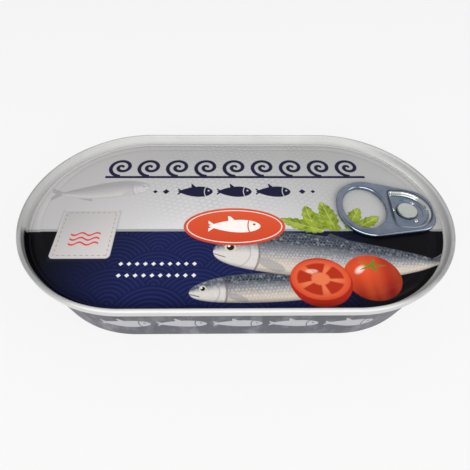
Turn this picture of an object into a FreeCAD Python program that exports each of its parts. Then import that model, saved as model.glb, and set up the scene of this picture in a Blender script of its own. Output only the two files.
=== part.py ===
"""Oblong easy-open fish tin, shut: drawn body, seamed lid, ring-pull and rivet.

The origin is the middle of the base, +X runs along the tin towards the ring-pull's nose,
+Y across it and +Z up out of the lid. All sizes are in millimetres.
"""
import FreeCAD
import Part
import math
import os

V = FreeCAD.Vector
UP = V(0, 0, 1)
CENTRE = V(0, 0, 0)

# Outside of the tin, measured over the double seam
tin_length = 149.0
tin_width = 81.0
tin_height = 25.0

# Double seam that rolls the lid onto the body
seam_height = 3.0
seam_thickness = 1.25
seam_top_round = 0.55
seam_bottom_round = 0.4

# Drawn body below the seam
neck_inset = 1.3
wall_draft = 2.1
foot_round = 1.5
base_rim_width = 5.0
base_recess = 0.6
base_recess_round = 0.8
rim_wall = 0.3

# Lid pressed down inside the seam
sheet = 0.25
lid_thickness = 0.7
groove_depth = 3.6
groove_width = 1.3
groove_round = 0.45
groove_to_margin = 0.25
score_inset = 0.7
score_width = 0.3
score_depth = 0.12
margin_width = 3.0
panel_rise = 0.2
panel_slope = 0.8

# Rivet that holds the ring-pull
rivet_inset = 13.5
rivet_offset_y = -0.4
rivet_head_radius = 3.5
rivet_head_height = 0.7
rivet_head_round = 0.3
rivet_stem_radius = 2.2
rivet_clearance = 0.05

# Ring-pull, set out from the rivet along its own length
tab_turn = -4.5
tab_height = 1.8
tab_round = 0.7
tab_nose_reach = 9.0
tab_ring_reach = 25.0
tab_nose_half_width = 8.35
tab_ring_half_width = 15.8
tab_nose_round = 7.5
tab_ring_round = 11.4
hole_reach = 15.2
hole_half_length = 7.65
hole_half_width = 9.75
pocket_floor = 0.45
pocket_nose_reach = 7.1
pocket_ring_reach = 5.8
pocket_half_width = 8.0
pocket_corner_round = 1.6
pocket_edge_round = 0.5
dimple_radius = 0.55
dimple_height = 0.3
dimple_reach = 4.9
dimple_count = 3
dimple_start = 57.0

# Levels and places that follow from the sizes above
straight = tin_length - tin_width
seam_radius = tin_width / 2
seam_foot_z = tin_height - seam_height
neck_radius = seam_radius - neck_inset
socket_radius = neck_radius - rim_wall
groove_outer_radius = socket_radius - sheet
groove_inner_radius = groove_outer_radius - groove_width
groove_z = tin_height - groove_depth
margin_z = groove_z + groove_to_margin
panel_z = margin_z + panel_rise
socket_z = groove_z - lid_thickness
panel_radius = groove_inner_radius - margin_width
score_radius = groove_inner_radius - score_inset
rivet_centre = V(tin_length / 2 - rivet_inset, rivet_offset_y, 0)


def rounded_face(corners, place):
    """Flat face through (a, b, rounding) corners, with tangent arcs, put in space by place(a, b)."""
    points = [place(a, b) for a, b, rounding in corners]
    edges = []
    stops = []
    for index, (a, b, rounding) in enumerate(corners):
        corner = points[index]
        if rounding == 0:
            stops.append((corner, corner))
            continue
        back = (points[index - 1] - corner).normalize()
        ahead = (points[(index + 1) % len(points)] - corner).normalize()
        half_angle = back.getAngle(ahead) / 2
        reach = rounding / math.tan(half_angle)
        inward = (back + ahead).normalize()
        start = corner + back * reach
        middle = corner + inward * (rounding / math.sin(half_angle) - rounding)
        end = corner + ahead * reach
        edges.append(Part.Arc(start, middle, end).toShape())
        stops.append((start, end))
    for index, (start, end) in enumerate(stops):
        next_start = stops[(index + 1) % len(stops)][0]
        if end.distanceToPoint(next_start) > 1e-6:
            edges.append(Part.LineSegment(end, next_start).toShape())
    return Part.Face(Part.Wire(Part.__sortEdges__(edges)))


def swept_round(section):
    """Solid left by carrying a (radius, height, rounding) section once round the oblong."""
    face = rounded_face(section, lambda radius, height: V(0, -radius, height))
    right_end = face.revolve(CENTRE, UP, 180).translated(V(straight / 2, 0, 0))
    left_end = right_end.rotated(CENTRE, UP, 180)
    front = face.translated(V(-straight / 2, 0, 0)).extrude(V(straight, 0, 0))
    back = front.rotated(CENTRE, UP, 180)
    return right_end.fuse([left_end, front, back]).removeSplitter()


def can_body():
    """Shut body with its contents: a slightly tapered oblong with a socket for the lid."""
    foot_radius = neck_radius - wall_draft
    recess_radius = foot_radius - base_rim_width
    return swept_round([
        (0, base_recess, 0),
        (recess_radius, base_recess, base_recess_round),
        (recess_radius + base_recess, 0, 0),
        (foot_radius, 0, foot_round),
        (neck_radius, seam_foot_z, 0),
        (socket_radius, seam_foot_z, 0),
        (socket_radius, socket_z, 0),
        (0, socket_z, 0),
    ])


def lid_end():
    """Lid: double seam, wall down to the groove, scored margin and a slightly raised panel."""
    half_score = score_width / 2
    return swept_round([
        (0, socket_z, 0),
        (socket_radius, socket_z, 0),
        (socket_radius, seam_foot_z, 0),
        (seam_radius, seam_foot_z, seam_bottom_round),
        (seam_radius, tin_height, seam_top_round),
        (seam_radius - seam_thickness, tin_height, seam_top_round),
        (groove_outer_radius, groove_z, groove_round),
        (groove_inner_radius, groove_z, groove_round),
        (groove_inner_radius - groove_to_margin, margin_z, 0),
        (score_radius + half_score - groove_to_margin, margin_z, 0),
        (score_radius - groove_to_margin, margin_z - score_depth, 0),
        (score_radius - half_score - groove_to_margin, margin_z, 0),
        (panel_radius, margin_z, 0),
        (panel_radius - panel_slope, panel_z, 0),
        (0, panel_z, 0),
    ])


def on_tab(along, across):
    """Point at the foot of the ring-pull, before it is turned and put at the rivet."""
    return V(along, across, panel_z)


def both_sides(corners):
    """Closed outline from the corners of one side, which run from the nose to the ring."""
    mirrored = [(along, -across, rounding) for along, across, rounding in reversed(corners)]
    return corners + mirrored


def flat_edges(shape, height):
    """Edges of the shape that lie flat at the given height."""
    return [edge for edge in shape.Edges
            if edge.BoundBox.ZLength < 1e-6 and abs(edge.BoundBox.ZMin - height) < 1e-6]


def pull_tab():
    """Ring-pull: a ring with a finger hole, and a nose pressed down to a floor round the rivet."""
    outline = rounded_face(both_sides([
        (tab_nose_reach, tab_nose_half_width, tab_nose_round),
        (-tab_ring_reach, tab_ring_half_width, tab_ring_round),
    ]), on_tab)
    hole_centre = on_tab(-hole_reach, 0)
    hole = Part.Ellipse(hole_centre + V(0, hole_half_width, 0),
                        hole_centre + V(hole_half_length, 0, 0), hole_centre)
    ring = outline.cut(Part.Face(Part.Wire(hole.toShape()))).extrude(UP * tab_height)
    tab = ring.makeFillet(tab_round, flat_edges(ring, panel_z) + flat_edges(ring, panel_z + tab_height))

    pocket = rounded_face(both_sides([
        (pocket_nose_reach, pocket_half_width, pocket_half_width),
        (-pocket_ring_reach, pocket_half_width, pocket_corner_round),
    ]), on_tab).extrude(UP * tab_height)
    tab = tab.cut(pocket.translated(UP * pocket_floor))
    around_pocket = pocket.BoundBox
    around_pocket.enlarge(pocket_edge_round)
    pocket_rim = [edge for edge in flat_edges(tab, panel_z + tab_height)
                  if around_pocket.isInside(edge.BoundBox)]
    tab = tab.makeFillet(pocket_edge_round, pocket_rim)

    stem_hole = Part.makeCylinder(rivet_stem_radius + rivet_clearance, tab_height, on_tab(0, 0))
    tab = tab.cut(stem_hole)
    for number in range(dimple_count):
        tab = tab.fuse(dimple(dimple_start + number * 360 / dimple_count))
    tab.rotate(CENTRE, UP, tab_turn)
    return tab.translated(rivet_centre)


def dimple(angle):
    """Small dome pressed up out of the nose's floor beside the rivet."""
    ball_radius = (dimple_radius ** 2 + dimple_height ** 2) / (2 * dimple_height)
    floor_z = panel_z + pocket_floor
    place = V(dimple_reach, 0, floor_z + dimple_height - ball_radius)
    ball = Part.makeSphere(ball_radius, place)
    above_floor = Part.makeBox(4 * ball_radius, 4 * ball_radius, 2 * dimple_height,
                               V(dimple_reach - 2 * ball_radius, -2 * ball_radius, floor_z - 0.05))
    return ball.common(above_floor).rotated(CENTRE, UP, angle)


def rivet():
    """Rivet raised out of the lid: a stem through the ring-pull and a flat round head."""
    floor_z = panel_z + pocket_floor
    stem = Part.makeCylinder(rivet_stem_radius, pocket_floor, V(0, 0, panel_z))
    head = Part.makeCylinder(rivet_head_radius, rivet_head_height, V(0, 0, floor_z))
    head = head.makeFillet(rivet_head_round, flat_edges(head, floor_z + rivet_head_height))
    return stem.fuse(head).removeSplitter().translated(rivet_centre)


def main():
    os.makedirs("parts", exist_ok=True)
    for make in (can_body, lid_end, pull_tab, rivet):
        shape = make()
        shape.exportStep("parts/%s.step" % make.__name__)
        box = shape.optimalBoundingBox()
        print("%-9s solids %d valid %s volume %.1f box %.2f %.2f %.2f .. %.2f %.2f %.2f" % (
            make.__name__, len(shape.Solids), shape.isValid(), shape.Volume,
            box.XMin, box.YMin, box.ZMin, box.XMax, box.YMax, box.ZMax))


main()
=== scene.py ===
"""Oblong easy-open fish tin, shut, on a pale floor. Metres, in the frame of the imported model."""
import math

import bpy
from mathutils import Matrix, Vector


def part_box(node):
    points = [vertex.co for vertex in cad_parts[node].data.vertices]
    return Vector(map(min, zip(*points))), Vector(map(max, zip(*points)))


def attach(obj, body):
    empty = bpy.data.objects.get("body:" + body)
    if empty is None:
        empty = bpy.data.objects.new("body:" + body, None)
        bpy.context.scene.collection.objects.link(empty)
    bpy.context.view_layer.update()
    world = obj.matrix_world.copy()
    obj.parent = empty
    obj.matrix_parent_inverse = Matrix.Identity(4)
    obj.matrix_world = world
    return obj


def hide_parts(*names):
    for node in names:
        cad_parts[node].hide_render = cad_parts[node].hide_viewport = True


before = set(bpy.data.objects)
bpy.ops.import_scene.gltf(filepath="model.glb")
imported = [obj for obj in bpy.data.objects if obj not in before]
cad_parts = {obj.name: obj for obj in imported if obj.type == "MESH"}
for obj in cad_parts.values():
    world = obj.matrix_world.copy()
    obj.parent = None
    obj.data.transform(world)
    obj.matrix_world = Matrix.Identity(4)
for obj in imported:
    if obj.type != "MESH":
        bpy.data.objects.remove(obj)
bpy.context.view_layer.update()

MM = 0.001

# Camera. It looks down on the tin from in front and close by, a little from the left, as a person
# does who has put the tin on a table.
look_down = math.radians(52.03)
look_aside = math.radians(-1.146)
lean = math.radians(0.796)
camera_distance = 148.2 * MM
looked_at = Vector((-1.92, 6.32, 0)) * MM
view_turn = (Matrix.Rotation(look_aside, 3, "Z") @ Matrix.Rotation(math.pi / 2 - look_down, 3, "X")
             @ Matrix.Rotation(lean, 3, "Z"))

bpy.ops.object.camera_add()
camera = bpy.context.object
camera.name = "camera"
camera.location = looked_at + view_turn @ Vector((0, 0, camera_distance))
camera.rotation_euler = view_turn.to_euler()
camera.data.sensor_width = 36
camera.data.lens = 27.22
camera.data.shift_x = 0.0098
camera.data.clip_start = 10 * MM
bpy.context.scene.camera = camera
bpy.context.scene.view_settings.view_transform = "Standard"


# Floor. A plain white sheet under the tin, so wide that no view sees its edge. It glows a little to
# the eye and in reflections, so that it reads white and still shows the tin's shadow.
floor_size = 6.0
floor_colour = (0.60, 0.60, 0.60, 1)
floor_glow = 0.80


class Value:
    """One value in a finish. Sums written with it add Math nodes to that finish."""

    def __init__(self, finish, socket):
        self.finish = finish
        self.socket = socket

    def math(self, operation, *others):
        return self.finish.math(operation, self, *others)

    def __add__(self, other):
        return self.math("ADD", other)

    def __sub__(self, other):
        return self.math("SUBTRACT", other)

    def __rsub__(self, other):
        return self.finish.math("SUBTRACT", other, self)

    def __mul__(self, other):
        return self.math("MULTIPLY", other)

    def __truediv__(self, other):
        return self.math("DIVIDE", other)

    def __rtruediv__(self, other):
        return self.finish.math("DIVIDE", other, self)

    def __pow__(self, other):
        return self.math("POWER", other)

    def __neg__(self):
        return self.math("MULTIPLY", -1)

    def __abs__(self):
        return self.math("ABSOLUTE")

    __radd__ = __add__
    __rmul__ = __mul__

    def sine(self):
        return self.math("SINE")

    def root(self):
        return self.math("SQRT")

    def floor(self):
        return self.math("FLOOR")

    def least(self, other):
        return self.math("MINIMUM", other)

    def most(self, other):
        return self.math("MAXIMUM", other)

    def held(self, low, high):
        sockets = {"Value": self, "Min": low, "Max": high}
        return Value(self.finish, self.finish.node("ShaderNodeClamp", {}, sockets).outputs[0])

    def rise(self, low, high):
        """0 at low and 1 at high, with an even slope between and level beyond."""
        sockets = {"Value": self, "From Min": low, "From Max": high}
        return Value(self.finish, self.finish.node("ShaderNodeMapRange", {}, sockets).outputs[0])

    def ease(self, low, high, first, last):
        """Goes smoothly from the first level to the last as the value goes from low to high."""
        settings = {"interpolation_type": "SMOOTHSTEP"}
        sockets = {"Value": self, "From Min": low, "From Max": high, "To Min": first, "To Max": last}
        return Value(self.finish, self.finish.node("ShaderNodeMapRange", settings, sockets).outputs[0])


class Finish:
    """The nodes of a material or of the room's light, with one way to add any node."""

    def __init__(self, owner, shader="Principled BSDF"):
        owner.use_nodes = True
        self.owner = owner
        self.tree = owner.node_tree
        self.shader = self.tree.nodes[shader]

    def feed(self, socket, value):
        if isinstance(value, Value):
            value = value.socket
        if isinstance(value, bpy.types.NodeSocket):
            self.tree.links.new(value, socket)
        else:
            socket.default_value = value

    def node(self, kind, settings, sockets):
        node = self.tree.nodes.new(kind)
        for name, setting in settings.items():
            setattr(node, name, setting)
        for name, value in sockets.items():
            self.feed(node.inputs[name], value)
        return node

    def math(self, operation, *values):
        node = self.node("ShaderNodeMath", {"operation": operation}, dict(enumerate(values)))
        return Value(self, node.outputs[0])

    def mix(self, amount, first, second):
        """Colour that goes from the first to the second as the amount goes from 0 to 1."""
        factor, colour_a, colour_b = 0, 6, 7
        sockets = {factor: amount, colour_a: first, colour_b: second}
        return self.node("ShaderNodeMix", {"data_type": "RGBA"}, sockets).outputs[2]

    def place(self):
        return self.node("ShaderNodeTexCoord", {}, {}).outputs["Object"]

    def millimetres(self):
        """The three coordinates of a point on the piece, in millimetres."""
        split = self.node("ShaderNodeSeparateXYZ", {}, {0: self.place()})
        return [Value(self, out) * 1000 for out in split.outputs]

    def mottle(self, grain, detail=3.0, roughness=0.5, stretch=(1, 1, 1)):
        """Soft random value about 0.5, with patches about so many millimetres across."""
        spread = tuple(1000 / grain * share for share in stretch)
        spot = self.node("ShaderNodeMapping", {}, {"Vector": self.place(), "Scale": spread})
        noise = self.node("ShaderNodeTexNoise", {}, {"Vector": spot.outputs[0], "Scale": 1.0,
                                                     "Detail": detail, "Roughness": roughness})
        return Value(self, noise.outputs[0])

    def dress(self, sockets):
        for name, value in sockets.items():
            self.feed(self.shader.inputs[name], value)

    def bump(self, height, depth):
        """Relief in which a height of 1 stands so many metres proud."""
        node = self.node("ShaderNodeBump", {}, {"Height": height, "Distance": depth})
        self.feed(self.shader.inputs["Normal"], node.outputs[0])


bpy.ops.mesh.primitive_plane_add(size=floor_size, location=(0, 0, 0))
floor = bpy.context.object
floor.name = "floor"
sheet = Finish(bpy.data.materials.new("white_sheet"))
sheet.dress({"Base Color": floor_colour, "Roughness": 0.9, "Specular IOR Level": 0.1})
rays = sheet.node("ShaderNodeLightPath", {}, {})
seen, mirrored, seen_through = [Value(sheet, rays.outputs["Is " + kind + " Ray"])
                                for kind in ("Camera", "Glossy", "Transmission")]
glow = sheet.node("ShaderNodeEmission", {}, {})
glow_share = seen.most(mirrored).most(seen_through) * floor_glow
glowing = sheet.node("ShaderNodeMixShader", {}, {"Fac": glow_share, 1: sheet.shader.outputs[0],
                                                 2: glow.outputs[0]})
sheet.feed(sheet.tree.nodes["Material Output"].inputs["Surface"], glowing.outputs[0])
floor.data.materials.append(sheet.owner)


# Light. A room that is bright in front, where a window would be, middling behind and at the sides,
# and dim overhead, with a wide soft panel in front above the eye and a small one on the right.
window_light = 0.82
far_light = 0.70
low_light = 0.62
overhead_share = 0.42
room_tint = (0.98, 0.985, 1.0, 1)

room = Finish(bpy.data.worlds.new("room"), "Background")
room_place = room.node("ShaderNodeTexCoord", {}, {}).outputs["Generated"]
room_split = room.node("ShaderNodeSeparateXYZ", {}, {0: room_place})
to_back, to_top = [Value(room, room_split.outputs[axis]) for axis in ("Y", "Z")]
wall_light = to_top.ease(0.0, 0.55, low_light, far_light)
room_light = to_back.ease(0.2, -0.9, wall_light, window_light)
room_light = room_light * to_top.ease(0.72, 0.95, 1.0, overhead_share)
room.dress({"Color": room_tint, "Strength": room_light})
bpy.context.scene.world = room.owner


def soft_panel(name, place, width, height, power):
    """A flat lamp that faces the tin."""
    bpy.ops.object.light_add(type="AREA", location=place)
    lamp = bpy.context.object
    lamp.name = name
    lamp.rotation_euler = (-Vector(place)).to_track_quat("-Z", "Y").to_euler()
    lamp.data.shape = "RECTANGLE"
    lamp.data.size = width
    lamp.data.size_y = height
    lamp.data.energy = power


soft_panel("front_panel", (-0.16, -0.58, 0.42), 1.0, 0.50, 5.8)
soft_panel("side_panel", (0.60, -0.15, 0.40), 0.3, 0.5, 1.2)


# Drawn body. One piece of thin sheet, drawn to an oblong cup that narrows a little to a rounded
# foot, with a shallow recess pressed up into its base. It is lacquered a lilac grey over the bright
# metal, with a row of small fish printed in white along both long sides. The lid sits in its mouth.
body_low, body_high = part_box("can_body")
lid_low, lid_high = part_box("lid_end")
round_sides = 192
straight = (body_high.x - body_low.x) - (body_high.y - body_low.y)
neck_radius = body_high.y
seam_foot = body_high.z
socket_floor = lid_low.z
wall_draft = 2.1 * MM
foot_round = 1.5 * MM
base_rim = 3.9 * MM
base_recess = 0.6 * MM
base_flat = 1.0 * MM
recess_run = 0.35 * MM
recess_ease = (0.25 * MM, -0.10 * MM)
mouth_wall = 0.3 * MM
neck_ring = 0.4 * MM
wall_parts = 4


def deselect_all():
    for thing in list(bpy.context.selected_objects):
        thing.select_set(False)


def pick(piece, kind, test):
    """Opens the piece in edit mode with only the vertices or faces selected that pass the test."""
    bpy.ops.object.mode_set(mode="EDIT")
    bpy.ops.mesh.select_mode(type=kind)
    bpy.ops.mesh.select_all(action="DESELECT")
    bpy.ops.object.mode_set(mode="OBJECT")
    for part in (piece.data.vertices if kind == "VERT" else piece.data.polygons):
        part.select = bool(test(part))
    bpy.ops.object.mode_set(mode="EDIT")


def done():
    bpy.ops.object.mode_set(mode="OBJECT")


def oblong_block(name, radius, low, high):
    """An upright oblong block: a round bar whose two halves are moved apart along the tin."""
    deselect_all()
    bpy.ops.mesh.primitive_cylinder_add(vertices=round_sides, radius=radius, depth=high - low,
                                        location=(0, 0, (low + high) / 2),
                                        rotation=(0, 0, math.pi / round_sides))
    block = bpy.context.object
    block.name = name
    bpy.ops.object.transform_apply(location=True, rotation=True, scale=True)
    for side in (-1, 1):
        pick(block, "VERT", lambda vertex: vertex.co.x * side > 0)
        bpy.ops.transform.translate(value=(side * straight / 2, 0, 0))
        done()
    return block


def press(steps):
    """Sinks the selected end face in by (inward, outward along its normal) steps, ring by ring."""
    for inward, along in steps:
        bpy.ops.mesh.inset(thickness=inward, depth=along, use_even_offset=True)


def arc(radius, start, end, parts=5):
    """(inward, along) steps round a circle; 0 degrees heads along the wall, 90 across the end."""
    turns = [math.radians(start + (end - start) * part / parts) for part in range(parts + 1)]
    sense = 1 if end > start else -1
    return [(sense * radius * (math.cos(before) - math.cos(after)),
             sense * radius * (math.sin(after) - math.sin(before)))
            for before, after in zip(turns, turns[1:])]


body = oblong_block("drawn_body", neck_radius, seam_foot - neck_ring, seam_foot)
pick(body, "FACE", lambda face: face.normal.z < -0.9)
wall_drop = seam_foot - neck_ring - (body_low.z + foot_round)
press([(wall_draft / wall_parts, wall_drop / wall_parts)] * wall_parts)
press(arc(foot_round, 0, 90))
press([(base_rim, 0), recess_ease, (recess_run, -base_recess - 2 * recess_ease[1]), recess_ease])
press([(base_flat, 0)])
done()
pick(body, "FACE", lambda face: face.normal.z > 0.9)
press([(mouth_wall, 0), (0, socket_floor - seam_foot)])
done()
bpy.ops.object.shade_smooth_by_angle(angle=math.radians(35))


def inside(distance, soft=0.16):
    """1 where a distance in millimetres is negative and 0 where it is positive, with a soft edge."""
    return distance.rise(soft / 2, -soft / 2)


def reach(x, y):
    """Distance from the origin of a pair of coordinates."""
    return (x * x + y * y).root()


def turned(x, y, centre, angle):
    """Coordinates along and across a shape that stands at a centre and leans by an angle."""
    cos, sin = math.cos(math.radians(angle)), math.sin(math.radians(angle))
    return (x - centre[0]) * cos + (y - centre[1]) * sin, (y - centre[1]) * cos - (x - centre[0]) * sin


def small_fish(x, y, length, height):
    """Mask of a plain fish, head towards +X, with its eye and gill line left bare."""
    along = (0.5 - x / length).held(0.001, 0.999)
    half = (along ** 0.55) * ((1 - along) ** 0.9) * (height * 1.02)
    trunk = inside(abs(y) - half) * inside(abs(x) - 0.5 * length)
    behind = -x - 0.34 * length
    lobes = (abs(y) - behind * 0.85).most(behind - 0.16 * length)
    tail = inside(lobes.most(behind * 0.7 - abs(y) - 0.05 * length))
    fin_sides = (x + y * 0.9 - 0.30 * height - 0.02 * length).most(-x - y * 0.1 - 0.10 * length)
    fin = inside(fin_sides.most(y - 0.62 * height)) * inside(-y)
    eye = reach(x - 0.38 * length, y - 0.04 * length) - 0.028 * length
    gill = abs(reach(x - 0.48 * length, y * 0.7) - 0.22 * length) - 0.012 * length
    return trunk.most(tail).most(fin) * (1 - inside(eye).most(inside(gill) * trunk))


def shoal(x, y, length, height, pitch, count):
    """Mask of a row of small fish swimming nose to tail, centred on the origin."""
    offset = 0.5 * (count % 2)
    cell = (x / pitch + offset).floor() + (0.5 - offset)
    own = x - cell * pitch
    return small_fish(own, y, length, height) * inside(abs(x) - count * pitch / 2)


dark_lilac = (0.062, 0.062, 0.079, 1)
light_lilac = (0.178, 0.176, 0.200, 1)
dull_patch = (0.060, 0.060, 0.074, 1)
under_seam_shadow = (0.045, 0.045, 0.054, 1)
fish_white = (0.36, 0.36, 0.38, 1)
fish_print = {"length": 15.5, "height": 7.4, "pitch": 17.5, "count": 5}
fish_print_level = 12.0
long_side = 20

lilac = Finish(bpy.data.materials.new("lilac_lacquer"))
side_x, side_y, side_z = lilac.millimetres()
# the vertical light and dark streaks in the lacquer are painted reflection
reflection_streak = lilac.mottle(5, 4, 0.62, (1, 1, 0.4))
patch = lilac.mottle(24, 2, 0.5)
lilac_colour = lilac.mix(reflection_streak.rise(0.46, 0.70), dark_lilac, light_lilac)
lilac_colour = lilac.mix(patch.rise(0.45, 0.7) * 0.4, lilac_colour, dull_patch)
# darker towards the top of the body: painted shadow under the seam
lilac_colour = lilac.mix(side_z.rise(17, 22) * 0.5, lilac_colour, under_seam_shadow)
row = shoal(side_x, side_z - fish_print_level, **fish_print) * inside(long_side - abs(side_y))
lilac.dress({"Base Color": lilac.mix(row, lilac_colour, fish_white), "Metallic": 0.06,
             "Roughness": 0.40 + patch * 0.1, "Coat Weight": 0.03, "Coat Roughness": 0.2,
             "Specular IOR Level": 0.2})
lilac.bump(patch, 0.10 * MM)
body.data.materials.append(lilac.owner)
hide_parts("can_body")
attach(body, "root")


# Lid. Thin sheet rolled with the body's rim into the double seam, pressed down inside it to a groove
# and up again to a scored margin and a flat panel. It is enamelled white, and the panel is printed
# pale above and navy below with two herring, tomatoes and leaves, and all is lacquered.
tab_low, tab_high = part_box("pull_tab")
seam_radius = lid_high.y
seam_top = lid_high.z
seam_thickness = 1.25 * MM
seam_top_round = 0.55 * MM
seam_foot_round = 0.4 * MM
panel_level = tab_low.z
panel_slope = 0.8 * MM
panel_rise = 0.2 * MM
margin_rise = 0.25 * MM
margin_level = panel_level - panel_rise
groove_level = margin_level - margin_rise
groove_round = 0.45 * MM
groove_floor = 0.4 * MM
wall_lean = 0.6 * MM
wall_steps = 3
margin_ease = (0.12 * MM, 0.03 * MM)
margin_run = 0.16 * MM
score_margin = 0.5 * MM
score_width = 0.3 * MM
score_depth = 0.12 * MM
slope_ease = (0.25 * MM, 0.04 * MM)
panel_flat = 0.8 * MM
panel_edge = 33.55 * MM
print_edge = 38.45

lid = oblong_block("seamed_lid", seam_radius, seam_foot + seam_foot_round, seam_top - seam_top_round)
pick(lid, "FACE", lambda face: face.normal.z < -0.9)
press(arc(seam_foot_round, 0, 90, 4))
press([(seam_radius - neck_radius + mouth_wall - seam_foot_round, 0), (0, seam_foot - socket_floor)])
done()
pick(lid, "FACE", lambda face: face.normal.z > 0.9)
press(arc(seam_top_round, 0, 90, 6))
press([(seam_thickness - 2 * seam_top_round, 0)])
press(arc(seam_top_round, 90, 180, 6))
wall_fall = seam_top - seam_top_round - (groove_level + groove_round)
press([(wall_lean / wall_steps, -wall_fall / wall_steps)] * wall_steps)
press(arc(groove_round, 180, 270, 5))
press([(groove_floor, 0), margin_ease, (margin_run, margin_rise - 2 * margin_ease[1]), margin_ease])
press([(score_margin, 0), (score_width / 2, -score_depth), (score_width / 2, score_depth)])
done()
inside_score = [face for face in lid.data.polygons if face.select][0]
margin_inside = max(lid.data.vertices[index].co.y for index in inside_score.vertices)
pick(lid, "FACE", lambda face: len(face.vertices) > 8 and face.normal.z > 0.9)
press([(margin_inside - panel_edge - panel_slope, 0), slope_ease])
press([(panel_slope - 2 * slope_ease[0], panel_rise - 2 * slope_ease[1]), slope_ease, (panel_flat, 0)])
done()
bpy.ops.object.shade_smooth_by_angle(angle=math.radians(40))


def fans(x, y, radius):
    """Distance from the middle of the frontmost of overlapping round fans, in rows that step back."""
    step = radius / 2
    first = ((y - radius) / step).floor() + 1
    found = None
    for row_number in (2, 1, 0):
        row_at = first + row_number
        odd = row_at - (row_at / 2).floor() * 2
        shift = odd * radius
        column = ((x - shift) / (2 * radius) + 0.5).floor()
        away = reach(x - shift - column * 2 * radius, y - row_at * step)
        if found is None:
            found = away
            continue
        front = (radius - away).rise(0, 0.001)
        found = found + (away - found) * front
    return found


def diamond(x, y, half):
    """Mask of a small diamond that reaches so far from the origin."""
    return inside(abs(x) + abs(y) - half)


def herring(finish, under, x, y, length, height, grain):
    """A silver herring, head towards -X, laid over the colour under it."""
    along = (x / length + 0.5).held(0.001, 0.999)
    taper = 1 - along
    half = (along ** 0.52) * (taper ** 0.80) * (height * 0.94) + taper * 0.02 * height
    bend_up = y - 0.04 * height * (along * math.tau).sine()
    across = bend_up / half.most(0.2)
    body_mask = inside(abs(bend_up) - half) * inside(abs(x) - 0.5 * length)
    behind = x - 0.455 * length
    spread = abs(y)
    lobes = (spread - behind * 0.62 - 0.035 * height).most(behind - 0.145 * length)
    fork = behind * 0.62 - spread * 0.85 - 0.055 * length
    tail_mask = inside(lobes.most(fork)) * inside(-behind)
    rays = (y / behind.most(0.5) * 18).sine() * 0.5 + 0.5
    fin_x = x - 0.03 * length
    fin_front = (y - 0.34 * height) * 0.9 - fin_x - 0.03 * length
    fin_back = fin_x + y * 0.35 - 0.12 * length
    back_fin = inside((fin_x * 0.45 + y - 0.45 * height).most(fin_front).most(fin_back)) * inside(-y)
    vent_x = x - 0.20 * length
    vent_sides = (-vent_x - 0.06 * length).most(vent_x - 0.09 * length)
    vent_fin = inside((vent_x * 0.4 - y - 0.42 * height).most(vent_sides)) * inside(y)
    side_x, side_y = turned(x, y, (-0.245 * length, -0.20 * height), -24)
    side_fin = inside(reach(side_x / 0.065 / length, side_y / 0.085 / height) - 1, 0.12)
    fin_colour = finish.mix(rays * 0.6, (0.06, 0.065, 0.075, 1), (0.22, 0.22, 0.23, 1))
    colour = finish.mix(tail_mask.most(back_fin * 0.45).most(vent_fin), under, fin_colour)

    scale_away = fans(y, x, 1.1)
    scale_edge = scale_away.rise(0.50, 1.1)
    back = (across + (grain - 0.5) * 0.5).rise(-0.05, 0.50)
    belly = (-across + (grain - 0.5) * 0.3).rise(-0.05, 0.55)
    flesh = finish.mix(back, (0.33, 0.33, 0.345, 1), (0.022, 0.028, 0.040, 1))
    flesh = finish.mix(belly, flesh, (0.62, 0.54, 0.45, 1))
    flesh = finish.mix(scale_edge * (1 - belly * 0.7) * 0.75, flesh, (0.10, 0.115, 0.15, 1))
    flesh = finish.mix(grain.rise(0.50, 0.70) * 0.32, flesh, (0.62, 0.62, 0.60, 1))
    gill_away = reach(x + 0.50 * length, y * 1.05)
    head = inside(gill_away - 0.205 * length, 1.2)
    skin = finish.mix(across.rise(-0.1, 0.5), (0.62, 0.58, 0.55, 1), (0.09, 0.11, 0.14, 1))
    skin = finish.mix(grain.rise(0.5, 0.7) * 0.4, skin, (0.72, 0.70, 0.68, 1))
    flesh = finish.mix(head, flesh, skin)
    gill = inside(abs(gill_away - 0.205 * length) - 0.28, 0.5)
    flesh = finish.mix(gill * 0.8, flesh, (0.10, 0.08, 0.09, 1))
    cheek = inside(abs(reach(x + 0.43 * length, y * 1.1) - 0.095 * length) - 0.14, 0.4)
    flesh = finish.mix(cheek * inside(-x - 0.44 * length) * 0.5, flesh, (0.14, 0.13, 0.15, 1))
    lips = y + 0.045 * height + (x + 0.5 * length) * 0.30
    mouth = inside(abs(lips) - 0.16, 0.3) * inside(x + 0.445 * length)
    flesh = finish.mix(mouth * 0.9, flesh, (0.05, 0.05, 0.06, 1))
    eye = reach(x + 0.425 * length, y - 0.085 * height)
    flesh = finish.mix(inside(eye - 0.090 * height), flesh, (0.56, 0.53, 0.44, 1))
    flesh = finish.mix(inside(eye - 0.058 * height), flesh, (0.012, 0.012, 0.015, 1))
    glint = reach(x + 0.432 * length, y - 0.11 * height)
    flesh = finish.mix(inside(glint - 0.022 * height), flesh, (0.9, 0.9, 0.9, 1))
    flesh = finish.mix(side_fin * 0.65, flesh, (0.30, 0.29, 0.30, 1))
    edge = (abs(across)).rise(0.78, 1.0)
    flesh = finish.mix(edge * 0.55, flesh, (0.05, 0.055, 0.07, 1))
    return finish.mix(body_mask, colour, flesh)


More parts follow.
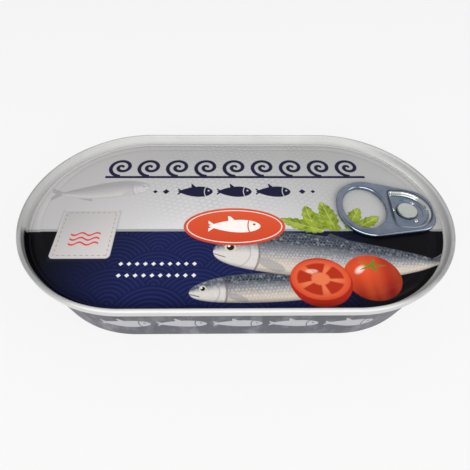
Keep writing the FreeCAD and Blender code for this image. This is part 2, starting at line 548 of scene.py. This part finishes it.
def tomato(finish, under, x, y, radius, grain):
    """A whole tomato with its green star, lit from above on the left."""
    away = reach(x, y * 1.10)
    shade = reach(x + 0.30 * radius, y * 1.1 - 0.35 * radius) / radius
    red = finish.mix(shade.rise(0.2, 1.25), (0.66, 0.070, 0.022, 1), (0.22, 0.012, 0.008, 1))
    lobes = (abs(x) / radius * 9).sine() * 0.5 + 0.5
    red = finish.mix(lobes * (grain * 0.35), red, (0.74, 0.14, 0.04, 1))
    shine_x, shine_y = turned(x, y, (-0.38 * radius, 0.30 * radius), 40)
    shine = inside(reach(shine_x / 0.20 / radius, shine_y / 0.10 / radius) - 1, 0.9)
    red = finish.mix(shine * 0.75, red, (0.95, 0.80, 0.74, 1))
    star_x, star_y = x - 0.06 * radius, (y - 0.46 * radius) * 1.9
    star_away = reach(star_x, star_y)
    angle = finish.math("ARCTAN2", star_y, star_x)
    points = abs((angle * 2.5).sine())
    star = inside(star_away - radius * (0.12 + 0.44 * (1 - points) ** 1.6), 0.35)
    red = finish.mix(star, red, finish.mix(grain, (0.045, 0.13, 0.012, 1), (0.17, 0.30, 0.03, 1)))
    return finish.mix(inside(away - radius, 0.3), under, red)


def cut_tomato(finish, under, x, y, radius, grain):
    """Half a tomato, cut face up: skin, flesh and the wet seed chambers."""
    away = reach(x, y * 1.28)
    angle = finish.math("ARCTAN2", y * 1.28, x)
    wheel = abs((angle * 2.5 + 0.4).sine())
    skin_mask = inside(reach(x, y * 1.12 + 0.11 * radius) - radius * 1.04, 0.3)
    colour = finish.mix(skin_mask, under, (0.36, 0.020, 0.010, 1))
    flesh = finish.mix((away / radius).rise(0.55, 1.0), (0.72, 0.17, 0.07, 1), (0.62, 0.060, 0.022, 1))
    chamber = inside(abs(away - radius * 0.55) - radius * 0.24, 0.6) * wheel.rise(0.30, 0.52)
    flesh = finish.mix(chamber, flesh, (0.40, 0.028, 0.010, 1))
    seeds = (grain * 9).sine().rise(0.55, 0.85) * chamber
    flesh = finish.mix(seeds, flesh, (0.82, 0.52, 0.20, 1))
    shine = inside(reach(x + 0.25 * radius, (y - 0.30 * radius) * 2.5) - 0.20 * radius, 0.8)
    flesh = finish.mix(shine * 0.45, flesh, (0.95, 0.75, 0.62, 1))
    return finish.mix(inside(away - radius, 0.25), colour, flesh)


def leaf(finish, under, x, y, centre, angle, length, width, grain):
    """One pointed green leaf with a pale middle vein, its foot at the centre."""
    along, across = turned(x, y, centre, angle)
    share = (along / length).held(0.001, 0.999)
    ruffle = (along * 2.6).sine() * 0.10 + (along * 5.9).sine() * 0.05
    half = (share ** 0.6) * ((1 - share) ** 0.75) * (width * 1.05) * (1 + ruffle)
    mask = inside(abs(across) - half, 0.3) * inside(abs(along - length / 2) - length / 2)
    green = finish.mix(grain.rise(0.35, 0.65), (0.14, 0.20, 0.010, 1), (0.32, 0.39, 0.045, 1))
    side_veins = (abs(across) * 3.2 - along * 2.6).sine().rise(0.75, 1.0)
    green = finish.mix(side_veins * 0.35, green, (0.46, 0.54, 0.15, 1))
    green = finish.mix(inside(abs(across) - 0.10, 0.3) * 0.7, green, (0.56, 0.62, 0.25, 1))
    leaf_edge = (abs(across) / half.most(0.1)).rise(0.7, 1.0)
    green = finish.mix(leaf_edge * 0.5, green, (0.10, 0.17, 0.012, 1))
    return finish.mix(mask, under, green)


printed = Finish(bpy.data.materials.new("printed_enamel"))
x, y, z = printed.millimetres()
end_x = (abs(x) - straight / 2 / MM).most(0)
out = reach(end_x, y)
cloud = printed.mottle(14, 3, 0.5)
speck = printed.mottle(1.1, 3, 0.6)
fine = printed.mottle(3.2, 2, 0.5)

# pale field, greyer towards the back and the ends as painted shade, with faint fans and a faint fish
back_shade_grey = (0.40, 0.39, 0.385, 1)
middle_pale = (0.645, 0.63, 0.625, 1)
left_end_shade_grey = (0.39, 0.372, 0.369, 1)
right_end_shade_grey = (0.34, 0.345, 0.338, 1)
margin_pale = (0.54, 0.535, 0.53, 1)
net_grey = (0.27, 0.27, 0.27, 1)
net_radius = 1.7
faint_fish = {"centre": (-48.5, 10.5), "lean": 6, "length": 33, "height": 10.5}
faint_share = 0.34
nearness = y.rise(30, -9)
pale = printed.mix(nearness + (cloud - 0.5) * 0.3, back_shade_grey, middle_pale)
pale = printed.mix((-x).rise(18, 62) * 0.8, pale, left_end_shade_grey)
pale = printed.mix(x.rise(5, 45) * 0.6, pale, right_end_shade_grey)
margin = (out - 34.4).rise(-0.3, 0.6)
pale = printed.mix(margin * 0.45, pale, margin_pale)
net_away = fans(x * 0.8 + y * 0.25, y * 0.8 - x * 0.2, net_radius)
net_fade = y.rise(-8, 4) * (x + 45).rise(0, 25) * (1 - x.rise(28, 50)) * cloud.rise(0.25, 0.75)
pale = printed.mix(net_away.rise(1.0, 1.6) * net_fade * 0.6, pale, net_grey)
faint_x, faint_y = turned(x, y, faint_fish["centre"], faint_fish["lean"])
faint = herring(printed, pale, -faint_x, faint_y, faint_fish["length"], faint_fish["height"], cloud)
faint = printed.node("ShaderNodeHueSaturation", {}, {"Saturation": 0.2, "Color": faint}).outputs[0]
pale = printed.mix(faint_share, pale, faint)

# navy field with wave fans, darker at both ends as painted shade, under a thin grey line
deep_navy = (0.0085, 0.0120, 0.060, 1)
end_shade_black = (0.0025, 0.0025, 0.0035, 1)
fan_navy = (0.020, 0.027, 0.115, 1)
line_grey = (0.30, 0.305, 0.31, 1)
field_line = -9.05
fan_radius = 13.0
fan_line_pitch = 1.45
end_shade = x.rise(5, 45).most((y * 0.35 - x).rise(22, 57))
navy = printed.mix(end_shade, deep_navy, end_shade_black)
fan_away = fans(x, y + 4.0, fan_radius)
fan_line = (fan_away * (math.tau / fan_line_pitch)).sine().rise(0.1, 0.7)
fan_fade = (1 - end_shade) * x.rise(-56, -38)
navy = printed.mix(fan_line * fan_fade * 0.6, navy, fan_navy)
colour = printed.mix(inside(y - field_line), pale, navy)
colour = printed.mix(inside(abs(y - field_line - 0.5) - 0.5), colour, line_grey)

# navy running waves over a row of small fish
ink_navy = (0.0105, 0.0105, 0.036, 1)
wave_pitch = 11.2
wave_count = 9
wave_level = 23.4
wave_foot_drop = 5.6
wave_foot_half = 0.62
curl_radius = 5.7
curl_gap = 2.9
curl_half = 0.24
row_fish = {"length": 13.0, "height": 7.0, "pitch": 14.6, "count": 3}
wave_cell = (x / wave_pitch + 0.5).floor()
curl_x = x - wave_cell * wave_pitch
curl_y = y - wave_level
curl_away = reach(curl_x, curl_y)
curl_turn = curl_away / curl_gap - printed.math("ARCTAN2", curl_y, curl_x) / math.tau
curl_phase = abs(curl_turn - curl_turn.floor() - 0.5)
curl_end = curl_turn - 1.5 - inside(curl_x, 0.01)
curl_line = inside((curl_half - curl_phase) * curl_gap, 0.25)
curl = curl_line * inside(curl_away - curl_radius, 0.2) * inside(curl_end, 0.02)
wave_foot = inside(abs(curl_y + wave_foot_drop) - wave_foot_half)
wave_mask = curl.most(wave_foot) * inside(abs(x) - wave_count / 2 * wave_pitch)
row_x = x + 0.6
row_y = y - 9.9
row_dots = diamond(abs(row_x) - 25.5, row_y, 1.3).most(diamond(abs(row_x) - 29.5, row_y, 0.9))
ink = wave_mask.most(shoal(row_x, row_y, **row_fish)).most(row_dots)
colour = printed.mix(ink, colour, ink_navy)

# sprig, fish and tomatoes; a leaf is its foot, its lean, its length and its width
sprig = (((36, -8.5), 148, 15, 6.5), ((38, -8.5), 58, 12, 6.0), ((27, -9), 100, 12, 6.5),
         ((34, -8.0), 104, 13, 7.0), ((30, -9), 160, 16, 6.0), ((42, -7.5), 30, 10, 5.0))
for foot, leaf_lean, leaf_length, leaf_width in sprig:
    colour = leaf(printed, colour, x, y, foot, leaf_lean, leaf_length, leaf_width, fine)
for centre, fish_lean, fish_length, fish_height in (((13.0, -30.8), 4, 56, 12.5),
                                                    ((29.0, -19.6), -3.5, 74, 21.5)):
    fish_x, fish_y = turned(x, y, centre, fish_lean)
    colour = herring(printed, colour, fish_x, fish_y, fish_length, fish_height, speck)
colour = tomato(printed, colour, x - 42.0, y + 27.4, 9.0, cloud)
colour = cut_tomato(printed, colour, x - 25.6, y + 28.0, 9.3, fine)

# orange-red oval with a white line round it and a white fish in it
badge_low = (0.56, 0.060, 0.022, 1)
badge_high = (0.66, 0.092, 0.036, 1)
badge_edge = (0.42, 0.045, 0.02, 1)
badge_white = (0.86, 0.80, 0.76, 1)
oval_half = (17.35, 8.1)
oval_line = 0.95
oval_line_half = 0.16
oval_x = x + 0.8
oval_y = y + 6.8
oval_share = reach(oval_x / oval_half[0], oval_y / oval_half[1])
oval_slope = reach(oval_x / oval_half[0] ** 2, oval_y / oval_half[1] ** 2).most(0.001)
oval_away = (oval_share - 1) * oval_share / oval_slope
badge = printed.mix(y.rise(-14, 2), badge_low, badge_high)
colour = printed.mix(inside(oval_away - 0.2, 0.3), colour, badge_edge)
colour = printed.mix(inside(oval_away), colour, badge)
colour = printed.mix(inside(abs(oval_away + oval_line) - oval_line_half), colour, badge_white)
colour = printed.mix(small_fish(oval_x, oval_y, 18, 7.2), colour, badge_white)

# white tag with a stitched edge, a soft shadow and three red ripples
tag_shadow = (0.02, 0.02, 0.02, 1)
tag_edge = (0.47, 0.46, 0.47, 1)
tag_shaded_side = (0.385, 0.37, 0.372, 1)
tag_lit_side = (0.58, 0.555, 0.54, 1)
stitch_brown = (0.30, 0.13, 0.14, 1)
ripple_red = (0.60, 0.05, 0.035, 1)
tag_half = (9.85, 10.45)
tag_round = 1.5
tag_rim = 0.35
shadow_drop = 0.7
stitch_line = 1.25
stitch_half = 0.13
stitch_pitch = 1.9
ripple_gap = 2.0
ripple_half = 0.35
tag_x = x + 51.15
tag_y = y + 9.8
over_x = abs(tag_x) - (tag_half[0] - tag_round)
over_y = abs(tag_y) - (tag_half[1] - tag_round)
tag_away = reach(over_x.most(0), over_y.most(0)) + over_x.most(over_y).least(0) - tag_round
shadow = over_x.most(abs(tag_y + shadow_drop) - (tag_half[1] - tag_round)) - tag_round
colour = printed.mix(inside(shadow, 1.4) * 0.55, colour, tag_shadow)
colour = printed.mix(inside(tag_away), colour, tag_edge)
# the tag is paler towards its right and front: painted light
tag_colour = printed.mix((tag_x - tag_y).rise(-18, 18), tag_shaded_side, tag_lit_side)
colour = printed.mix(inside(tag_away + tag_rim), colour, tag_colour)
stitch_side = (over_x - over_y).rise(0, 0.001)
stitch_run = tag_x + (tag_y - tag_x) * stitch_side
stitch_on = (stitch_run * (math.tau / stitch_pitch)).sine().rise(-0.3, 0.1)
stitch = stitch_on * inside(abs(tag_away + stitch_line) - stitch_half)
colour = printed.mix(stitch * 0.75, colour, stitch_brown)
ripple = abs(tag_y + 0.55 * (tag_x * 1.25).sine() + 2.4)
ripples = inside(ripple - ripple_half).most(inside(abs(ripple - ripple_gap) - ripple_half))
colour = printed.mix(ripples * inside(abs(tag_x) - 5.0), colour, ripple_red)

# two rows of small white diamonds on the navy
mark_white = (0.72, 0.72, 0.74, 1)
mark_pitch = 2.6
mark_count = 10
mark_half = 0.75
mark_x = x + 25.5
mark_cell = mark_x - (mark_x / mark_pitch).floor() * mark_pitch - mark_pitch / 2
marks = diamond(mark_cell, y + 22.3, mark_half).most(diamond(mark_cell, y + 26.6, mark_half))
colour = printed.mix(marks * inside(abs(mark_x) - mark_count / 2 * mark_pitch), colour, mark_white)

# white enamel outside the print, with painted shade and painted light on the seam and its inner wall
enamel_dull = (0.49, 0.490, 0.478, 1)
enamel_white = (0.545, 0.545, 0.53, 1)
groove_grey = (0.30, 0.30, 0.29, 1)
seam_end_shade_grey = (0.235, 0.235, 0.24, 1)
lit_wall_foot_white = (0.72, 0.72, 0.70, 1)
shaded_wall_top_grey = (0.27, 0.27, 0.27, 1)
shaded_left_wall_grey = (0.17, 0.17, 0.185, 1)
lit_front_top_white = (0.66, 0.66, 0.64, 1)
shaded_front_side_grey = (0.40, 0.40, 0.39, 1)
rim = seam_top / MM
seam_inside = (seam_radius - seam_thickness) / MM
right_end = x.rise(52, 66)
left_end = (-x).rise(56, 66) * (-y).rise(8, 11)
enamel = printed.mix(cloud.rise(0.3, 0.75), enamel_dull, enamel_white)
# darker along the groove at the foot of the wall: painted shade
groove_shade = inside(abs(out - print_edge - 0.15) - 0.15, 0.4)
enamel = printed.mix(groove_shade * 0.35, enamel, groove_grey)
# greyer on the seam's top towards both ends: painted shade
on_seam = out.rise(seam_inside - 0.05, seam_inside + 0.55) * z.rise(rim - 1.6, rim - 0.6)
seam_end_shade = on_seam * abs(x).rise(30, 62) * cloud.rise(0.1, 0.5)
enamel = printed.mix(seam_end_shade * 0.85, enamel, seam_end_shade_grey)
on_wall = out.rise(print_edge, print_edge + 0.15) * (1 - z.rise(rim - 0.9, rim - 0.5))
# on the wall at the right end: a paler foot, painted light, and a greyer top, painted shade
lit_wall_foot = on_wall * right_end * (1 - z.rise(rim - 3.4, rim - 2.4))
shaded_wall_top = on_wall * right_end * z.rise(rim - 2.6, rim - 1.4)
enamel = printed.mix(lit_wall_foot * 0.8, enamel, lit_wall_foot_white)
enamel = printed.mix(shaded_wall_top * 0.6, enamel, shaded_wall_top_grey)
# the wall at the left end beside the navy is darker: painted shade
enamel = printed.mix(on_wall * left_end * 0.9, enamel, shaded_left_wall_grey)
# at the front the seam's top is brighter, painted light, and its side greyer, painted shade
front = (-y).rise(36.5, 39.5)
on_top = z.rise(rim - 0.8, rim - 0.3)
enamel = printed.mix(front * on_top * 0.6, enamel, lit_front_top_white)
enamel = printed.mix(front * (1 - on_top) * 0.6, enamel, shaded_front_side_grey)
on_panel = inside(out + x * 0.006 - print_edge, 0.12) * inside(z - rim + 1.6)
colour = printed.mix(on_panel, enamel, colour)
printed.dress({"Base Color": colour, "Roughness": 0.30 + cloud * 0.08, "Specular IOR Level": 0.06,
               "Coat Weight": 0.12 - on_panel * 0.09, "Coat Roughness": 0.08})
printed.bump(cloud, 0.08 * MM)
lid.data.materials.append(printed.owner)
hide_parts("lid_end")
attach(lid, "root")


# Ring-pull. Stamped from steel strip with its edges curled under: a finger ring, and a nose that is
# pressed down to a flat floor round the rivet. Bare, bluish bright metal. The rivet holds it down.
tab_turn = math.radians(-4.5)
rivet_low, rivet_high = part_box("rivet")
rivet_place = (rivet_low + rivet_high) / 2
tab_height = tab_high.z - tab_low.z
tab_curl = 0.7 * MM
nose_round = 7.5 * MM
nose_centre = (1.5 * MM, 2.32 * MM)
ring_round = 11.4 * MM
ring_centre = (-13.6 * MM, 1.63 * MM)
hole_centre = -15.2 * MM
hole_half = (7.65 * MM, 9.75 * MM)
pocket_floor = 0.45 * MM
pocket_round = 8.75 * MM
pocket_middle = -0.85 * MM
pocket_corner = 1.6 * MM
pocket_corner_centre = (-4.2 * MM, 7.1 * MM)
pocket_lean = 0.86
pocket_edge = 0.35 * MM
well_radius = 5.6 * MM
well_depth = 0.15 * MM
dimple_radius = 0.8 * MM
dimple_height = 0.4 * MM
dimple_reach = 4.9 * MM
dimple_turns = (57, 177, 297)
bar_sides = 96
rivet_radius = (rivet_high.x - rivet_low.x) / 2


def bar(name, radius, bar_x, bar_y, low, high):
    """An upright round bar."""
    deselect_all()
    bpy.ops.mesh.primitive_cylinder_add(vertices=bar_sides, radius=radius, depth=high - low,
                                        location=(bar_x, bar_y, (low + high) / 2))
    piece = bpy.context.object
    piece.name = name
    bpy.ops.object.transform_apply(location=True, rotation=True, scale=True)
    return piece


def wrap(name, bars):
    """One block stretched round several upright bars."""
    deselect_all()
    for piece in bars:
        piece.select_set(True)
    bpy.context.view_layer.objects.active = bars[0]
    bpy.ops.object.join()
    block = bpy.context.object
    block.name = name
    pick(block, "VERT", lambda vertex: True)
    bpy.ops.mesh.convex_hull()
    bpy.ops.mesh.select_all(action="SELECT")
    bpy.ops.mesh.dissolve_limited(angle_limit=math.radians(0.5))
    done()
    return block


def carve(piece, tool, operation):
    """Cuts the tool out of the piece, or adds it, and throws the tool away."""
    deselect_all()
    piece.select_set(True)
    bpy.context.view_layer.objects.active = piece
    cut = piece.modifiers.new("cut", "BOOLEAN")
    cut.operation = operation
    cut.solver = "EXACT"
    cut.object = tool
    bpy.ops.object.modifier_apply(modifier=cut.name)
    bpy.data.objects.remove(tool)


def round_edges(piece, width, parts):
    """Rounds every edge of the piece that is still sharp."""
    rounding = piece.modifiers.new("rounding", "BEVEL")
    rounding.width = width
    rounding.segments = parts
    rounding.limit_method = "ANGLE"
    rounding.angle_limit = math.radians(45)
    rounding.use_clamp_overlap = False
    bpy.ops.object.modifier_apply(modifier=rounding.name)


noses = [bar("nose", nose_round, nose_centre[0], side * nose_centre[1], 0, tab_height) for side in (-1, 1)]
rings = [bar("ring", ring_round, ring_centre[0], side * ring_centre[1], 0, tab_height) for side in (-1, 1)]
tab = wrap("ring_pull", noses + rings)
finger_hole = bar("finger_hole", 1 * MM, 0, 0, -tab_height, 2 * tab_height)
finger_hole.scale = (hole_half[0] / MM, hole_half[1] / MM, 1)
finger_hole.location = (hole_centre, 0, 0)
carve(tab, finger_hole, "DIFFERENCE")
round_edges(tab, tab_curl, 6)
nose_end = bar("nose_end", pocket_round, pocket_middle, 0, pocket_floor, 2 * tab_height)
pick(nose_end, "VERT", lambda vertex: vertex.co.x < pocket_middle)
bpy.ops.transform.resize(value=(0, 1, 1), center_override=(pocket_middle, 0, 0))
done()
corners = [bar("corner", pocket_corner, pocket_corner_centre[0], side * pocket_corner_centre[1],
               pocket_floor, 2 * tab_height) for side in (-1, 1)]
pocket = wrap("pocket", [nose_end] + corners)
pick(pocket, "VERT", lambda vertex: vertex.co.z < tab_height)
bpy.ops.transform.resize(value=(pocket_lean, pocket_lean, 1),
                         center_override=(pocket_middle, 0, pocket_floor))
done()
carve(tab, pocket, "DIFFERENCE")
round_edges(tab, pocket_edge, 5)
well = bar("well", well_radius, 0, 0, pocket_floor - well_depth, tab_height)
carve(tab, well, "DIFFERENCE")
for turn in dimple_turns:
    dimple_x = dimple_reach * math.cos(math.radians(turn))
    dimple_y = dimple_reach * math.sin(math.radians(turn))
    deselect_all()
    bpy.ops.mesh.primitive_uv_sphere_add(segments=32, ring_count=16, radius=1,
                                         location=(dimple_x, dimple_y, pocket_floor - well_depth))
    dimple = bpy.context.object
    dimple.scale = (dimple_radius, dimple_radius, dimple_height + well_depth)
    carve(tab, dimple, "UNION")
tab.rotation_euler = (0, 0, tab_turn)
tab.location = (rivet_place.x, rivet_place.y, tab_low.z)
deselect_all()
tab.select_set(True)
bpy.ops.object.transform_apply(location=True, rotation=True, scale=True)
bpy.ops.object.shade_smooth_by_angle(angle=math.radians(30))

blue_steel = (0.175, 0.235, 0.29, 1)
pale_steel = (0.30, 0.31, 0.40, 1)
crease_shade_black = (0.032, 0.038, 0.052, 1)
lit_wall_steel = (0.58, 0.61, 0.58, 1)
lit_lip_steel = (0.52, 0.55, 0.62, 1)
dimple_glint_steel = (0.75, 0.78, 0.80, 1)

steel = Finish(bpy.data.materials.new("curled_steel"))
steel_grain = steel.mottle(0.7, 3, 0.5, (0.15, 1, 1))
steel_cloud = steel.mottle(6, 2, 0.5)
steel_x, steel_y, steel_z = steel.millimetres()
nose_x, nose_y = turned(steel_x, steel_y, (rivet_place.x / MM, rivet_place.y / MM), math.degrees(tab_turn))
rivet_away = reach(nose_x, nose_y)

# distance from the pocket's edge, which is a half circle and a straight back with round corners
corner_round = pocket_corner / MM
pocket_back = pocket_corner_centre[0] / MM - corner_round
past_arc = reach((nose_x - pocket_middle / MM).most(0), nose_y) - (pocket_round / MM - corner_round)
past_back = pocket_back + corner_round - nose_x
pocket_away = reach(past_arc.most(0), past_back.most(0)) + past_arc.most(past_back).least(0) - corner_round

# painted shade in the creases round the pocket, a painted shadow round the rivet, and painted highlights
# on the pocket wall, front lip and dimples
crease_shade = inside(abs(pocket_away - 0.1) - 0.35, 0.5) * (0.35 + nose_y.rise(-9.0, -5.0) * 0.65)
back_crease_shade = inside(abs(nose_x - pocket_back - 0.1) - 0.85, 0.6) * inside(abs(nose_y) - 6.0, 3.0)
rivet_shadow_ring = inside(abs(rivet_away - rivet_radius / MM - 0.25) - 0.15, 0.4)
# the pocket wall, the front lip and the dimples' tops are lighter: painted highlights
lit_wall = inside(abs(pocket_away + 0.70) - 0.40, 0.4) * (nose_x + nose_y).rise(-2.0, 3.0)
lit_lip = inside(abs(pocket_away + 0.10) - 0.22, 0.3) * (-nose_y).rise(5.5, 7.5) * nose_x.rise(-5.0, -3.0)
pocket_level = (tab_low.z + pocket_floor) / MM
above_floor = steel_z.rise(pocket_level, pocket_level + 0.15)
dimple_glint = inside(abs(rivet_away - dimple_reach / MM) - 0.5, 0.4) * above_floor
steel_colour = steel.mix(steel_cloud.rise(0.3, 0.7), blue_steel, pale_steel)
steel_colour = steel.mix(crease_shade.most(back_crease_shade).most(rivet_shadow_ring) * 0.85, steel_colour, crease_shade_black)
steel_colour = steel.mix(lit_wall, steel_colour, lit_wall_steel)
steel_colour = steel.mix(lit_lip * 0.8, steel_colour, lit_lip_steel)
steel_colour = steel.mix(dimple_glint, steel_colour, dimple_glint_steel)
steel.dress({"Base Color": steel_colour, "Metallic": 1.0, "Roughness": 0.11 + steel_grain * 0.07})
steel.bump(steel_grain, 0.002 * MM)
tab.data.materials.append(steel.owner)
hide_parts("pull_tab")
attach(tab, "root")


# Rivet. A hollow stud drawn up out of the lid's own sheet, put through the ring-pull and spread to a
# flat round head, so it is enamelled pale as the lid is, with its rounded edge darker and partly metallic.
stem_radius = 2.2 * MM
rivet_round = 0.3 * MM
dish_rim = 0.5 * MM
dish_slope = (0.3 * MM, -0.03 * MM)
dish_floor = 0.4 * MM
stud_dull = (0.34, 0.36, 0.33, 1)
stud_pale = (0.41, 0.43, 0.395, 1)
stud_edge_metal = (0.20, 0.215, 0.25, 1)

rivet = bar("rivet_head", rivet_radius, rivet_place.x, rivet_place.y, tab_low.z + pocket_floor,
            rivet_high.z - rivet_round)
pick(rivet, "FACE", lambda face: face.normal.z < -0.9)
press([(rivet_radius - stem_radius, 0), (0, pocket_floor)])
done()
pick(rivet, "FACE", lambda face: face.normal.z > 0.9)
press(arc(rivet_round, 0, 90))
press([(dish_rim, 0), dish_slope, dish_slope, (dish_floor, 0)])
done()
bpy.ops.object.shade_smooth_by_angle(angle=math.radians(35))

stud = Finish(bpy.data.materials.new("stud_enamel"))
stud_cloud = stud.mottle(2, 3, 0.5)
stud_x, stud_y = stud.millimetres()[:2]
stud_out = reach(stud_x - rivet_place.x / MM, stud_y - rivet_place.y / MM)
stud_dark_edge = stud_out.rise(3.2, 3.4) * (0.6 + stud_cloud * 0.4)
stud_colour = stud.mix(stud_cloud, stud_dull, stud_pale)
stud_colour = stud.mix(stud_dark_edge, stud_colour, stud_edge_metal)
stud.dress({"Base Color": stud_colour, "Roughness": 0.4, "Metallic": stud_dark_edge * 0.8})
stud.bump(stud_cloud, 0.03 * MM)
rivet.data.materials.append(stud.owner)
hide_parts("rivet")
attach(rivet, "root")

bpy.context.view_layer.update()
